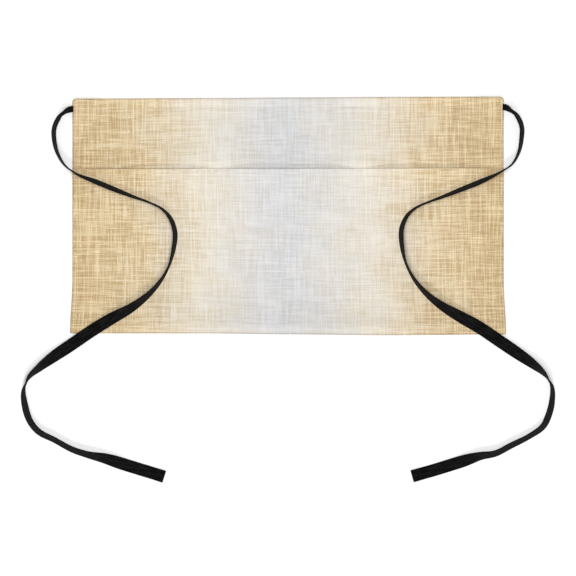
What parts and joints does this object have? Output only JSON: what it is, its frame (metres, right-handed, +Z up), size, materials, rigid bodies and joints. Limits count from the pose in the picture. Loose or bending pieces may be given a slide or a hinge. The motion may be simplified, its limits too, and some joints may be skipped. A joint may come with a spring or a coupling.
{
  "type": "waist apron",
  "caption": "Waist apron lying flat, with a wide front pocket sewn into compartments and long black tape ties.",
  "frame": {"origin": "centre of the footprint of the panels, on the surface that the apron lies on", "axes": "+X along the waist edge to the right as seen from above, +Y towards the waist edge, +Z up, out of the front face"},
  "size_m": [0.6948, 0.5011, 0.025],
  "materials": {
    "linen": "printed linen weave on the face, plain on the reverse, matte",
    "tape": "woven cotton tape, matte black"
  },
  "bodies": {
    "root": {"back_panel": "linen", "waist_hem": "linen", "side_hem_left": "linen", "side_hem_right": "linen", "pocket_panel": "linen", "pocket_hem": "linen", "tie_left": "tape", "tie_right": "tape", "tie_end_left": "tape", "tie_end_right": "tape"}
  },
  "joints": []
}
